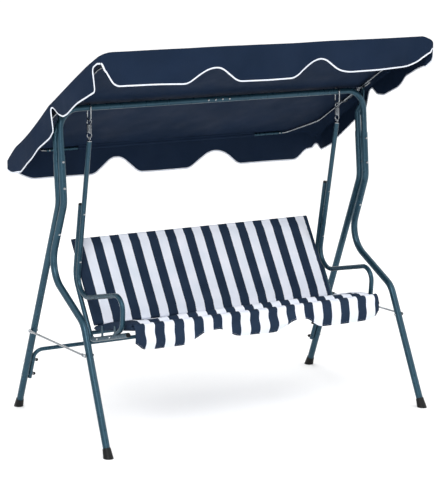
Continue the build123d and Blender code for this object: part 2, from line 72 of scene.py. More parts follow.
# ---- Sewing sizes ------------------------------------------------------------------------
TILT = math.radians(28.6)           # the canopy leans back by this much at rest
CLOTH = 0.0012                      # thickness of the canopy cloth
FOLD_LENGTH = 0.020                 # cloth in the rounded fold from roof to valance
CORNER_RADIUS = 0.022               # plan radius of the canopy's corners
ROD_CORNER = 0.41                   # along the slope, where the rods turn inwards
ROOF_LIFT = 0.0135                  # height of the cloth off the plane through the pivots
ROOF_FALL = 0.004                   # how much lower it lies at the rails
ROOF_SAG = 0.008                    # dip between the pivot and each rail
SIDE_SLACK = (0.005, 0.030)         # droop outside the rods, everywhere and more on the rear slope
REAR_DROOP = 0.044                  # further droop of the rear corners
FRONT_DROOPS = (0.010, 0.030)       # and of the front corners, left and right
LEANS = {"front": math.radians(10), "rear": math.radians(-8), "side": math.radians(-26)}
BINDING = (0.0038, 0.0013)          # half width, half thickness
SLEEVE_HALF_X = 0.48
CORNER_DROPS = {"front": 0.048, "rear": 0.052}     # valance depth where two of them meet
# Lower edges of the canopy's valances, as (x, cloth length below the roof's edge)
END_SCALLOPS = {
    "front": (
        (-0.850, 0.044), (-0.820, 0.080), (-0.795, 0.134), (-0.765, 0.159), (-0.720, 0.164),
        (-0.560, 0.168), (-0.415, 0.174), (-0.345, 0.126), (-0.305, 0.108), (-0.255, 0.108),
        (-0.215, 0.138), (-0.165, 0.174), (-0.010, 0.175), (0.125, 0.173), (0.185, 0.118),
        (0.225, 0.095), (0.265, 0.095), (0.345, 0.152), (0.400, 0.164), (0.560, 0.160),
        (0.720, 0.150), (0.780, 0.121), (0.850, 0.044),
    ),
    "rear": (
        (-0.850, 0.045), (-0.778, 0.112), (-0.715, 0.141), (-0.600, 0.141), (-0.395, 0.147),
        (-0.335, 0.102), (-0.300, 0.073), (-0.245, 0.073), (-0.205, 0.110), (-0.160, 0.150),
        (0.120, 0.152), (0.195, 0.103), (0.240, 0.079), (0.290, 0.079), (0.335, 0.101),
        (0.385, 0.152), (0.725, 0.154), (0.790, 0.110), (0.850, 0.050),
    ),
}
# Lower edges of the side valances, as (place down the slope, cloth length)
SIDE_SCALLOPS = {
    -1: (
        (-0.562, 0.044), (-0.520, 0.040), (-0.484, 0.038), (-0.468, 0.060), (-0.461, 0.112),
        (-0.446, 0.134), (-0.360, 0.126), (-0.275, 0.117), (-0.160, 0.117), (-0.110, 0.108),
        (-0.068, 0.080), (-0.034, 0.034), (-0.006, 0.032), (0.001, 0.085), (0.009, 0.123),
        (0.060, 0.132), (0.184, 0.119), (0.271, 0.125), (0.339, 0.123), (0.430, 0.130),
        (0.500, 0.095), (0.552, 0.042),
    ),
    1: (
        (-0.562, 0.044), (-0.545, 0.090), (-0.490, 0.117), (-0.325, 0.108), (-0.303, 0.129),
        (-0.265, 0.139), (-0.135, 0.123), (-0.060, 0.086), (-0.005, 0.030), (0.025, 0.030),
        (0.036, 0.095), (0.055, 0.120), (0.150, 0.114), (0.330, 0.130), (0.390, 0.139),
        (0.454, 0.128), (0.520, 0.090), (0.552, 0.045),
    ),
}
SIDE_INWARD = {-1: 0.03, 1: 0.36}   # how far each side valance swings in, over its length
STRIPE = 0.0480                     # width of one stripe of the sling
COVER_HALF_X = 0.636
STRIPES_FROM = COVER_HALF_X + 0.001     # from the middle to where the first stripe starts
COVER_RADIUS = 0.0112               # cloth wrapped round the sling tubes
BACK_LENGTH = 0.425                 # of the covers, along their slopes
SEAT_LENGTH = 0.392
BACK_LEAN = math.radians(32.6)      # from upright
SEAT_PITCH = math.radians(11.1)     # the front edge is the higher
# Height of the seat cushion above its tubes, by distance from its front edge, amid and at the ends
SEAT_CROWN = (
    (0, 0), (0.004, 0.008), (0.012, 0.0135), (0.022, 0.034), (0.034, 0.041), (0.060, 0.0425),
    (0.130, 0.038), (0.220, 0.028), (0.340, 0.016), (0.400, 0.010),
)
SEAT_CROWN_END = (
    (0, 0), (0.004, 0.008), (0.012, 0.0125), (0.022, 0.018), (0.050, 0.024), (0.100, 0.029),
    (0.190, 0.029), (0.260, 0.025), (0.340, 0.015), (0.400, 0.010),
)
# The seat valance: its section as (y, z), and its lower edge as (x, z)
SEAT_FLAP = (
    (-0.344, 0.526), (-0.355, 0.5395), (-0.372, 0.5415), (-0.385, 0.529), (-0.391, 0.510),
    (-0.393, 0.480), (-0.391, 0.455), (-0.388, 0.412),
)
SEAT_SCALLOP = (
    (-0.636, 0.470), (-0.612, 0.434), (-0.560, 0.425), (-0.395, 0.427), (-0.290, 0.480),
    (-0.210, 0.480), (-0.130, 0.436), (0.080, 0.429), (0.160, 0.476), (0.235, 0.478),
    (0.310, 0.428), (0.575, 0.427), (0.616, 0.440), (0.636, 0.476),
)


# ---- Small helpers -----------------------------------------------------------------------
def smooth(t):
    """Smooth step from 0 to 1, held outside that range."""
    t = np.clip(t, 0, 1)
    return t * t * (3 - 2 * t)


def rounded_line(x, knots, reach):
    """Straight lines through knots of (place, value), with corners rounded over this reach."""
    places, values = zip(*knots)
    shifts = np.linspace(-reach, reach, 13)
    return sum(np.interp(x + shift, places, values) for shift in shifts) / len(shifts)


def unit(v):
    """The array's vectors scaled to length 1."""
    return v / np.linalg.norm(v, axis=-1, keepdims=True)


def even_steps(drop, first, last, count):
    """Places from first to last that are evenly spaced along the curve drop makes."""
    fine = np.linspace(first, last, 4000)
    travel = np.hypot(np.gradient(fine), np.gradient(drop(fine)))
    return np.interp(np.linspace(0, 1, count), np.cumsum(travel) / np.sum(travel), fine)


def linked(name, data):
    """A new object of this mesh, light or camera, in the scene."""
    piece = bpy.data.objects.new(name, data)
    bpy.context.scene.collection.objects.link(piece)
    return piece


def piece_from_grid(name, points, cloth, material, wrap=False):
    """A quad mesh from points[row, column], with the cloth's own flat places in metres as UVs."""
    rows, columns = points.shape[:2]
    mesh = bpy.data.meshes.new(name)
    faces = []
    for row in range(rows if wrap else rows - 1):
        for column in range(columns - 1):
            below = (row + 1) % rows
            faces.append((
                row * columns + column,
                row * columns + column + 1,
                below * columns + column + 1,
                below * columns + column,
            ))
    mesh.from_pydata(points.reshape(-1, 3).tolist(), [], faces)
    layer = mesh.uv_layers.new(name="cloth")
    corners = np.zeros(len(mesh.loops), np.int32)
    mesh.loops.foreach_get("vertex_index", corners)
    layer.data.foreach_set("uv", cloth.reshape(-1, 2)[corners].astype(np.float32).ravel())
    mesh.polygons.foreach_set("use_smooth", np.ones(len(mesh.polygons), bool))
    mesh.materials.append(material)
    return linked(name, mesh)


def settle(piece):
    """Turn a piece's modifiers into its mesh."""
    graph = bpy.context.evaluated_depsgraph_get()
    evaluated = piece.evaluated_get(graph)
    mesh = bpy.data.meshes.new_from_object(evaluated, preserve_all_data_layers=True, depsgraph=graph)
    piece.modifiers.clear()
    piece.data = mesh
    return piece


def thicken(piece, thickness):
    """Give a sheet its cloth thickness, half on each side."""
    solid = piece.modifiers.new("thickness", "SOLIDIFY")
    solid.thickness = thickness
    solid.offset = 0
    return settle(piece)


def tape_along(name, path, across, inward, places, material, sides=8):
    """A flattened tape along path: across is the face normal and inward lies in the sheet."""
    half_width, half_thickness = BINDING
    ring = []
    for turn in np.linspace(0, 2 * np.pi, sides, endpoint=False):
        offset = np.cos(turn) * half_width * inward + np.sin(turn) * half_thickness * across
        ring.append(path + offset)
    width = np.linspace(0, 2 * half_width, sides)[:, None]
    cloth = np.stack([np.tile(places, (sides, 1)), np.tile(width, (1, len(path)))], axis=-1)
    return piece_from_grid(name, np.array(ring), cloth, material, wrap=True)


# ---- Materials ---------------------------------------------------------------------------
def material_with(name, **constants):
    """A new material whose Principled shader has these constant inputs."""
    material = bpy.data.materials.new(name)
    material.use_nodes = True
    shader = material.node_tree.nodes["Principled BSDF"]
    for label, value in constants.items():
        shader.inputs[label.replace("_", " ")].default_value = value
    return material, material.node_tree, shader


def add(tree, kind, inputs=None, **settings):
    """Add a node, with its settings and its inputs, where an input may be another node's output."""
    node = tree.nodes.new(kind)
    for label, value in settings.items():
        setattr(node, label, value)
    for label, value in (inputs or {}).items():
        if isinstance(value, bpy.types.NodeSocket):
            tree.links.new(value, node.inputs[label])
        else:
            node.inputs[label].default_value = value
    return node


def ramp(tree, factor, low, high, low_at=0.0, high_at=1.0):
    """A two-colour ramp."""
    node = add(tree, "ShaderNodeValToRGB", {"Fac": factor})
    node.color_ramp.elements[0].position = low_at
    node.color_ramp.elements[0].color = low
    node.color_ramp.elements[1].position = high_at
    node.color_ramp.elements[1].color = high
    return node.outputs["Color"]


def grey(value):
    """An opaque grey."""
    return (value, value, value, 1)


def object_noise(tree, scale, detail=3.0, stretch=(1, 1, 1)):
    """Noise fixed to the object, scale in features per metre."""
    place = add(tree, "ShaderNodeTexCoord").outputs["Object"]
    moved = add(tree, "ShaderNodeMapping", {"Vector": place, "Scale": stretch}).outputs["Vector"]
    inputs = {"Vector": moved, "Scale": scale, "Detail": detail}
    return add(tree, "ShaderNodeTexNoise", inputs).outputs["Fac"]


def metal(name, colours, roughness, grain, metallic, **constants):
    """Painted or plated metal: two shades of colour, uneven gloss and a fine surface grain."""
    material, tree, shader = material_with(name, Metallic=metallic, **constants)
    cloudy = object_noise(tree, 14)
    tree.links.new(ramp(tree, cloudy, *colours, 0.35, 0.68), shader.inputs["Base Color"])
    worn = object_noise(tree, 60, 5, (1, 1, 0.35))
    gloss = ramp(tree, worn, grey(roughness[0]), grey(roughness[1]), 0.4, 0.72)
    tree.links.new(gloss, shader.inputs["Roughness"])
    skin = object_noise(tree, grain, 2)
    bump = add(tree, "ShaderNodeBump", {"Height": skin, "Strength": 0.15, "Distance": 0.00006})
    tree.links.new(bump.outputs["Normal"], shader.inputs["Normal"])
    return material


def weave_height(tree, pitch):
    """Height of a plain weave with this thread spacing, on the cloth's own coordinates."""
    flat = add(tree, "ShaderNodeUVMap", uv_map="cloth").outputs["UV"]
    threads = []
    for direction in ("X", "Y"):
        inputs = {
            "Vector": flat,
            "Scale": 0.314 / pitch,
            "Distortion": 0.4,
            "Detail": 1.0,
            "Detail Scale": 2.0,
        }
        wave = add(tree, "ShaderNodeTexWave", inputs, bands_direction=direction)
        threads.append(wave.outputs["Fac"])
    mixed = add(tree, "ShaderNodeMath", {0: threads[0], 1: threads[1]}, operation="MAXIMUM")
    return mixed.outputs["Value"]


def cloth_finish(tree, shader, pitch, creases):
    """The parts all the cloths share: weave and soft creases as bump, and uneven roughness."""
    shader.inputs["Specular IOR Level"].default_value = 0.06
    soft = object_noise(tree, 9, 4, (1, 1, 0.6))
    folds = add(tree, "ShaderNodeBump", {"Height": soft, "Strength": creases, "Distance": 0.01})
    inputs = {
        "Height": weave_height(tree, pitch),
        "Strength": 0.3,
        "Distance": 0.0003,
        "Normal": folds.outputs["Normal"],
    }
    weave = add(tree, "ShaderNodeBump", inputs)
    tree.links.new(weave.outputs["Normal"], shader.inputs["Normal"])
    rough = ramp(tree, soft, grey(0.62), grey(0.82), 0.3, 0.7)
    tree.links.new(rough, shader.inputs["Roughness"])


def canopy_cloth():
    """Navy woven polyester, a little faded in patches."""
    material, tree, shader = material_with("canopy_cloth")
    faded = object_noise(tree, 5, 4)
    colour = ramp(tree, faded, (0.0065, 0.0150, 0.0340, 1), (0.0095, 0.0200, 0.0450, 1), 0.3, 0.75)
    tree.links.new(colour, shader.inputs["Base Color"])
    cloth_finish(tree, shader, 0.0011, 0.12)
    return material


def binding_cloth():
    """White woven tape with a faint rib along it."""
    material, tree, shader = material_with("white_binding")
    dusty = object_noise(tree, 30, 4)
    colour = ramp(tree, dusty, (0.66, 0.70, 0.78, 1), (0.76, 0.79, 0.85, 1), 0.3, 0.7)
    tree.links.new(colour, shader.inputs["Base Color"])
    cloth_finish(tree, shader, 0.0008, 0.05)
    return material


def striped_cloth():
    """Navy and white stripes across the bench, woven with slightly uneven edges."""
    material, tree, shader = material_with("striped_cloth")
    flat = add(tree, "ShaderNodeUVMap", uv_map="cloth").outputs["UV"]
    across = add(tree, "ShaderNodeSeparateXYZ", {"Vector": flat}).outputs["X"]
    ragged = add(tree, "ShaderNodeMath", {0: object_noise(tree, 900, 2), 1: 0.0012}, operation="MULTIPLY")
    shaken = add(tree, "ShaderNodeMath", {0: across, 1: ragged.outputs["Value"]}, operation="ADD")
    count = add(tree, "ShaderNodeMath", {0: shaken.outputs["Value"], 1: STRIPE}, operation="DIVIDE")
    phase = add(tree, "ShaderNodeMath", {0: count.outputs["Value"], 1: 2.0}, operation="FLOORED_MODULO")
    white = add(tree, "ShaderNodeMath", {0: phase.outputs["Value"], 1: 1.0}, operation="GREATER_THAN")
    faded = object_noise(tree, 11, 4)
    navy = ramp(tree, faded, (0.012, 0.023, 0.046, 1), (0.018, 0.033, 0.062, 1), 0.3, 0.7)
    pale = ramp(tree, faded, (0.68, 0.73, 0.82, 1), (0.78, 0.80, 0.88, 1), 0.3, 0.7)
    mixed = add(tree, "ShaderNodeMix", data_type="RGBA")
    colour_inputs = [socket for socket in mixed.inputs if socket.type == "RGBA"]
    colour_output = next(socket for socket in mixed.outputs if socket.type == "RGBA")
    tree.links.new(white.outputs["Value"], mixed.inputs["Factor"])
    tree.links.new(navy, colour_inputs[0])
    tree.links.new(pale, colour_inputs[1])
    tree.links.new(colour_output, shader.inputs["Base Color"])
    cloth_finish(tree, shader, 0.0012, 0.10)
    return material


def moulded_plastic():
    """Black moulded caps, scuffed in places."""
    material, tree, shader = material_with("black_plastic", Specular_IOR_Level=0.22)
    scuffs = object_noise(tree, 120, 6)
    colour = ramp(tree, scuffs, (0.004, 0.0045, 0.005, 1), (0.014, 0.015, 0.016, 1), 0.55, 0.9)
    tree.links.new(colour, shader.inputs["Base Color"])
    tree.links.new(ramp(tree, scuffs, grey(0.38), grey(0.65), 0.4, 0.75), shader.inputs["Roughness"])
    pits = object_noise(tree, 900, 2)
    pitted = add(tree, "ShaderNodeBump", {"Height": pits, "Strength": 0.2, "Distance": 0.0004})
    tree.links.new(pitted.outputs["Normal"], shader.inputs["Normal"])
    return material


PAINT_SHADES = ((0.016, 0.052, 0.080, 1), (0.020, 0.063, 0.094, 1))
STEEL_SHADES = ((0.26, 0.28, 0.30, 1), (0.38, 0.40, 0.42, 1))
materials = {
    "frame_paint": metal("frame_paint", PAINT_SHADES, (0.27, 0.36), 450, 0.5, Specular_IOR_Level=0.4),
    "plated_steel": metal("plated_steel", STEEL_SHADES, (0.18, 0.34), 700, 1.0),
    "black_plastic": moulded_plastic(),
    "canopy_cloth": canopy_cloth(),
    "striped_cloth": striped_cloth(),
    "white_binding": binding_cloth(),
}

# Every CAD node takes the finish of its slot
for part in frame["record"]["subparts"]:
    node_mesh = frame["nodes"][part["node"]].data
    node_mesh.materials.clear()
    node_mesh.materials.append(materials[part["material_slot"]])


# ---- Canopy ------------------------------------------------------------------------------
DOWN_SLOPE = np.array((0, math.cos(TILT), -math.sin(TILT)))
OFF_SLOPE = np.array((0, math.sin(TILT), math.cos(TILT)))
ACROSS = np.array((1.0, 0, 0))
fold_reach = {place: abs((np.array(FOLDS[place]) - np.array(PIVOT)) @ DOWN_SLOPE) for place in FOLDS}
EDGE_X = CANOPY_HALF_X - FOLD_LENGTH / 2
EDGE_S = {"front": fold_reach["front"] - 0.0045, "rear": fold_reach["rear"] - FOLD_LENGTH / 2}


def canopy_place(x, s, h):
    """World points from x, the distance down the slope and the height off it."""
    return np.array(PIVOT) + x[..., None] * ACROSS + s[..., None] * DOWN_SLOPE + h[..., None] * OFF_SLOPE


def roof_height(x, s):
    """Height of the cloth off the rods: it sags between the rails and droops outside the rods."""
    beside = np.abs(x)
    along = np.abs(s)
    height = ROOF_LIFT - ROOF_FALL * along / 0.55
    bay = np.sin(np.pi * np.clip(along / 0.54, 0, 1)) ** 2
    height = height - ROOF_SAG * bay * (1 - np.clip(beside / ROD_X, 0, 1) ** 2)
    outside = np.clip((beside - ROD_X) / (CANOPY_HALF_X - ROD_X), 0, 1) ** 1.6
    slack = SIDE_SLACK[0] + SIDE_SLACK[1] * np.sin(np.pi * np.clip(s / 0.62, 0, 1))
    corner = outside * np.clip((along - ROD_CORNER) / 0.14, 0, 1) ** 1.5
    ripples = 0.0010 * np.sin(11 * x + 5 * s) * np.sin(9 * s + 3 * x)
    corner_droop = np.where(s < 0, np.where(x < 0, *FRONT_DROOPS), REAR_DROOP)
    return height - slack * outside - corner_droop * corner + ripples


def round_corner(x, s):
    """Pull the roof's square plan corners in to their radius, and give the outward direction there."""
    edge_s = np.where(s < 0, EDGE_S["front"], EDGE_S["rear"])
    over_x = np.clip((np.abs(x) - EDGE_X) / CORNER_RADIUS + 1, 0, 1)
    over_s = np.clip((np.abs(s) - edge_s) / CORNER_RADIUS + 1, 0, 1)
    length = np.maximum(np.hypot(over_x, over_s), 1e-9)
    pull = np.where((over_x > 0) & (over_s > 0), np.maximum(over_x, over_s) / length, 1)
    round_x = np.where(over_x > 0, np.sign(x) * (EDGE_X - CORNER_RADIUS * (1 - over_x * pull)), x)
    round_s = np.where(over_s > 0, np.sign(s) * (edge_s - CORNER_RADIUS * (1 - over_s * pull)), s)
    return round_x, round_s, np.sign(x) * over_x / length, np.sign(s) * over_s / length


def at_corner(depth, inset, place):
    """The depth of a valance, brought to the depth of the corner it shares with its neighbour."""
    return depth + (CORNER_DROPS[place] - depth) * smooth(1 - inset / 0.018)


def end_drop(place):
    """How far the front or rear valance hangs at each x."""
    return lambda x: at_corner(rounded_line(x, END_SCALLOPS[place], 0.022), EDGE_X - np.abs(x), place)


def side_drop(side):
    """How far a side valance hangs at each place down the slope."""

    def drop(s):
        depth = rounded_line(s, SIDE_SCALLOPS[side], 0.011)
        depth = at_corner(depth, s + EDGE_S["front"], "front")
        return at_corner(depth, EDGE_S["rear"] - s, "rear")

    return drop


def hang(x, s, share, drop, down, wave):
    """Cloth hanging from the roof's edge: over the rounded fold, then down, with a slow wave."""
    edge_x, edge_s, out_x, out_s = round_corner(x, s)
    start = canopy_place(edge_x, edge_s, roof_height(edge_x, edge_s))
    outward = out_x[..., None] * ACROSS + out_s[..., None] * DOWN_SLOPE
    travel = (share * drop)[..., None]
    turn = np.clip(travel / FOLD_LENGTH, 0, 1)
    fold = FOLD_LENGTH * (outward * (turn - turn ** 2 / 2) + down * turn ** 2 / 2)
    sway = (wave * share ** 1.5)[..., None] * outward
    return start + fold + down * np.maximum(travel - FOLD_LENGTH, 0) + sway


def lean_down(place, near_corner, inward=0.0):
    """Downward direction of a valance, turning plumb towards the corners."""
    angle = LEANS[place] * (1 - near_corner)
    return unit(np.stack([inward * (1 - near_corner), np.sin(angle), -np.cos(angle)], axis=-1))


def side_points(side, s, share):
    """Points of a side valance at share of its drop."""
    near_corner = smooth((np.abs(s) - 0.46) / 0.09)
    wave = 0.004 * np.sin(13 * s + 1.2 * side) * (1 - near_corner)
    x = np.full_like(s, side * EDGE_X)
    down = lean_down("side", near_corner, -side * SIDE_INWARD[side])
    return hang(x, s, share, side_drop(side)(s), down, wave)


def end_points(place, x, share):
    """Points of the front or rear valance at share of its drop."""
    way = -1 if place == "front" else 1
    near_corner = smooth((np.abs(x) - 0.70) / 0.12)
    wave = 0.0035 * np.sin(7.5 * x + way) * (1 - near_corner)
    s = np.full_like(x, way * EDGE_S[place])
    return hang(x, s, share, end_drop(place)(x), lean_down(place, near_corner), wave)


def side_steps(side):
    """Places down the slope, evenly spaced along a side valance's lower edge."""
    return even_steps(side_drop(side), -EDGE_S["front"], EDGE_S["rear"], 320)


def roof_and_sides():
    """One continuous sheet: left valance, roof and right valance."""
    shares = np.linspace(1, 0, 15)[:-1]
    inner = np.linspace(-(EDGE_X - CORNER_RADIUS), EDGE_X - CORNER_RADIUS, 71)
    outer = EDGE_X - CORNER_RADIUS * (1 - np.linspace(0, 1, 6)[1:])
    roof_x = np.concatenate([-outer[::-1], inner, outer])
    left, right = side_steps(-1), side_steps(1)
    rows, cloth = [], []
    for share in shares:
        rows.append(side_points(-1, left, np.full_like(left, share)))
        cloth.append(np.stack([-EDGE_X - share * side_drop(-1)(left), left], axis=-1))
    for x in roof_x:
        s = left + (right - left) * smooth((x / EDGE_X + 1) / 2)
        edge_x, edge_s, _, _ = round_corner(np.full_like(s, x), s)
        rows.append(canopy_place(edge_x, edge_s, roof_height(edge_x, edge_s)))
        cloth.append(np.stack([edge_x, edge_s], axis=-1))
    for share in shares[::-1]:
        rows.append(side_points(1, right, np.full_like(right, share)))
        cloth.append(np.stack([EDGE_X + share * side_drop(1)(right), right], axis=-1))
    area = 2 * EDGE_X * (left[-1] - left[0])
    for side, s in ((-1, left), (1, right)):
        area += np.sum(side_drop(side)(s)[1:] * np.diff(s))
    sheet = piece_from_grid("canopy_sheet", np.array(rows), np.array(cloth), materials["canopy_cloth"])
    return thicken(sheet, CLOTH), area


def end_steps(place):
    """Places across, evenly spaced along the front or rear valance's lower edge."""
    return even_steps(end_drop(place), -EDGE_X, EDGE_X, 290)


def end_valance(place):
    """The front or rear valance, sewn on along the fold."""
    drop = end_drop(place)
    x = end_steps(place)
    rows, cloth = [], []
    for share in np.linspace(0, 1, 17):
        rows.append(end_points(place, x, np.full_like(x, share)))
        cloth.append(np.stack([x, -share * drop(x)], axis=-1))
    name = f"canopy_{place}_valance"
    sheet = piece_from_grid(name, np.array(rows), np.array(cloth), materials["canopy_cloth"])
    return thicken(sheet, CLOTH), np.sum(drop(x)[1:] * np.diff(x))


def binding(name, edge, above, places, material):
    """Tape folded over a valance's lower edge, with a row of stitches along its top."""
    along = unit(np.gradient(edge, axis=0))
    upward = unit(above - edge)
    across = unit(np.cross(along, upward))
    inward = unit(np.cross(across, along))
    inward = inward * np.sign(np.sum(inward * upward, axis=1, keepdims=True))
    middle = edge + inward * BINDING[0] * 0.7
    tape = tape_along(name, middle, across, inward, places, material)
    seam = edge + inward * BINDING[0] * 1.25
    sewn = stitches(f"{name}_stitches", seam, across, BINDING[1])
    return tape, sewn


def stitches(name, path, across, lift, pitch=0.0055):
    """Short thread stitches along path, on both faces of the cloth."""
    travel = np.concatenate([[0], np.cumsum(np.linalg.norm(np.diff(path, axis=0), axis=1))])
    marks = np.arange(pitch, travel[-1] - pitch, pitch)
    points, faces = [], []
    for face in (-1, 1):
        lifted = path + across * lift * face * 0.95
        for mark in marks:
            ends = [[np.interp(mark + step, travel, lifted[:, axis]) for axis in range(3)]
                    for step in (-0.36 * pitch, 0.36 * pitch)]
            normal = np.array([np.interp(mark, travel, across[:, axis]) for axis in range(3)]) * face
            start, end = np.array(ends)
            side = np.cross(end - start, normal)
            side = side / max(np.linalg.norm(side), 1e-9) * 0.00035
            middle = (start + end) / 2
            first = len(points)
            points += [start, middle + side, middle + normal * 0.0005, middle - side, end]
            faces += [(first + a, first + b, first + c) for a, b, c in (
                (0, 1, 2), (0, 2, 3), (4, 2, 1), (4, 3, 2), (0, 3, 1), (4, 1, 3))]
    mesh = bpy.data.meshes.new(name)
    mesh.from_pydata([tuple(p) for p in points], [], faces)
    mesh.uv_layers.new(name="cloth")
    mesh.materials.append(materials["white_binding"])
    return linked(name, mesh)


canopy_sheet, canopy_area = roof_and_sides()
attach(canopy_sheet, "canopy")
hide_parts("canopy_roof", "valance_left", "valance_right")
for label, side in (("left", -1), ("right", 1)):
    s = side_steps(side)
    lower_edge = side_points(side, s, np.ones_like(s))
    just_above = side_points(side, s, np.full_like(s, 0.9))
    for item in binding(f"canopy_binding_{label}", lower_edge, just_above, s, materials["white_binding"]):
        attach(item, "canopy")

for place in ("front", "rear"):
    valance, valance_area = end_valance(place)
    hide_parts(f"valance_{place}")
    x = end_steps(place)
    lower_edge = end_points(place, x, np.ones_like(x))
    just_above = end_points(place, x, np.full_like(x, 0.9))
    trims = binding(f"canopy_binding_{place}", lower_edge, just_above, x, materials["white_binding"])
    for item in (valance, *trims):
        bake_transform(item)


def rail_sleeve(place):
    """The cloth pocket that holds the middle of a canopy rail, sewn to the roof on its inner side."""
    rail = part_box(f"canopy_{place}_tube")
    centre = (rail[0] + rail[1]) / 2
    inner = 1 if place == "front" else -1
    radius = RAIL_RADIUS + 0.0009
    x = np.linspace(-SLEEVE_HALF_X, SLEEVE_HALF_X, 97)
    profile = [(inner * radius * 2.2, radius), (inner * radius * 1.2, radius * 0.75)]
    for turn in np.linspace(math.radians(20), math.radians(-185), 15):
        profile.append((inner * radius * math.cos(turn), radius * math.sin(turn)))
    rows, cloth = [], []
    length = 0.0
    for index, (s, h) in enumerate(profile):
        if index:
            length += math.dist(profile[index - 1], (s, h))
        pucker = 0.0003 * np.sin(60 * x) * (1 if h < 0 else 0)
        off = (h + pucker)[:, None] * OFF_SLOPE
        rows.append(np.array(centre) + x[:, None] * ACROSS + s * DOWN_SLOPE + off)
        cloth.append(np.stack([x, np.full_like(x, length)], axis=-1))
    name = f"rail_sleeve_{place}"
    sleeve = piece_from_grid(name, np.array(rows), np.array(cloth), materials["canopy_cloth"])
    thicken(sleeve, 0.0008)
    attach(sleeve, "canopy")


rail_sleeve("front")
rail_sleeve("rear")


# ---- Sling covers ------------------------------------------------------------------------
BACK_UP = np.array((0, math.sin(BACK_LEAN), math.cos(BACK_LEAN)))
BACK_FACE = np.array((0, -math.cos(BACK_LEAN), math.sin(BACK_LEAN)))
SEAT_FORWARD = np.array((0, -math.cos(SEAT_PITCH), math.sin(SEAT_PITCH)))
SEAT_FACE = np.array((0, math.sin(SEAT_PITCH), math.cos(SEAT_PITCH)))


def rim(distance, radius):
    """Height of a round rim, from 0 at the edge to 1 a radius inside it."""
    inside = np.clip(distance / radius, 0, 1)
    return np.sqrt(1 - (1 - inside) ** 2)


def rim_steps(half, radius, count):
    """Places from -half to half, crowded at the two round rims."""
    turns = np.linspace(0, math.pi / 2, 6)[:-1]
    edge = half - radius * (1 - np.cos(turns))
    return np.concatenate([-edge, np.linspace(-half + radius, half - radius, count), edge[::-1]])


def cushion(name, origin, along, face, half_length, thickness):
    """A closed striped cover: two faces that meet at a rim, each thickness(x, w, front) off its plane."""
    x = rim_steps(COVER_HALF_X, 0.02, 85)
    w = rim_steps(half_length, 0.02, 27)
    grid_w, grid_x = np.meshgrid(w, x, indexing="ij")
    base = np.array(origin) + grid_x[..., None] * ACROSS + grid_w[..., None] * along
    front = base + thickness(grid_x, grid_w, True)[..., None] * face
    back = base - thickness(grid_x, grid_w, False)[..., None] * face
    rows = np.concatenate([front, back[::-1]])
    flat = np.stack([grid_x + STRIPES_FROM, grid_w], axis=-1)
    flat = np.concatenate([flat, flat[::-1]])
    cover = piece_from_grid(name, rows, flat, materials["striped_cloth"], wrap=True)
    weld = cover.modifiers.new("weld", "WELD")
    weld.merge_threshold = 0.0002
    return settle(cover)


def inflate(cover, held, pressure=1.2, cap=0.008):
    """Fill a cover by cloth simulation while its held points stay. No point moves further than cap."""
    scene = bpy.context.scene
    rest = np.array([v.co for v in cover.data.vertices])
    pins = cover.vertex_groups.new(name="held")
    for index in np.flatnonzero(held(rest)):
        pins.add([int(index)], 1.0, "REPLACE")
    cloth = cover.modifiers.new("fill", "CLOTH")
    cloth.settings.vertex_group_mass = "held"
    cloth.settings.mass = 0.2
    cloth.settings.tension_stiffness = 20
    cloth.settings.compression_stiffness = 20
    cloth.settings.bending_stiffness = 0.3
    cloth.settings.shrink_min = -0.012
    cloth.settings.use_pressure = True
    cloth.settings.uniform_pressure_force = pressure
    cloth.settings.effector_weights.gravity = 0
    for number in range(1, 21):
        scene.frame_set(number)
    graph = bpy.context.evaluated_depsgraph_get()
    moved = np.array([v.co for v in cover.evaluated_get(graph).data.vertices])
    shift = moved - rest
    length = np.linalg.norm(shift, axis=1, keepdims=True)
    shift = shift * np.minimum(1, cap / np.maximum(length, 1e-9))
    cover.modifiers.clear()
    cover.data.vertices.foreach_set("co", (rest + shift).astype(np.float32).ravel())
    scene.frame_set(1)


def back_thickness(x, w, front):
    """The back cover hugs the tubes at its rim and is a thin pad between them, alike on both faces."""
    ends = COVER_HALF_X - np.abs(x)
    hems = BACK_LENGTH / 2 - np.abs(w)
    edge = rim(ends, COVER_RADIUS) * rim(hems, COVER_RADIUS)
    inside = smooth((ends - 0.022) / 0.05) * smooth((hems - 0.022) / 0.05)
    return edge * (COVER_RADIUS - 0.003 * inside)


def seat_thickness(x, w, front):
    """The seat cover is a cushion above its tubes, and hugs them below."""
    ends = COVER_HALF_X - np.abs(x)
    if not front:
        return COVER_RADIUS * rim(ends, COVER_RADIUS) * rim(SEAT_LENGTH / 2 - np.abs(w), COVER_RADIUS)
    inset = SEAT_LENGTH / 2 - w
    middle = rounded_line(inset, SEAT_CROWN, 0.004)
    end = rounded_line(inset, SEAT_CROWN_END, 0.004)
    crown = middle + (end - middle) * (np.abs(x) / COVER_HALF_X) ** 3
    return crown * rim(ends, 0.022) * rim(inset, 0.010) * rim(SEAT_LENGTH - inset, 0.015)


def rim_distance(points, origin, along, half_length):
    """Distance of each point inside a cover's rim."""
    w = (points - np.array(origin)) @ along
    return np.minimum(COVER_HALF_X - np.abs(points[:, 0]), half_length - np.abs(w))


back_centre = np.array(BACK_TOP * Vector((0, 1, 1))) + BACK_UP * (COVER_RADIUS - BACK_LENGTH / 2)
back_cover = cushion("back_cover", back_centre, BACK_UP, BACK_FACE, BACK_LENGTH / 2, back_thickness)
inflate(back_cover, lambda p: rim_distance(p, back_centre, BACK_UP, BACK_LENGTH / 2) < 0.024)
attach(back_cover, "bench")
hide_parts("back_pad")

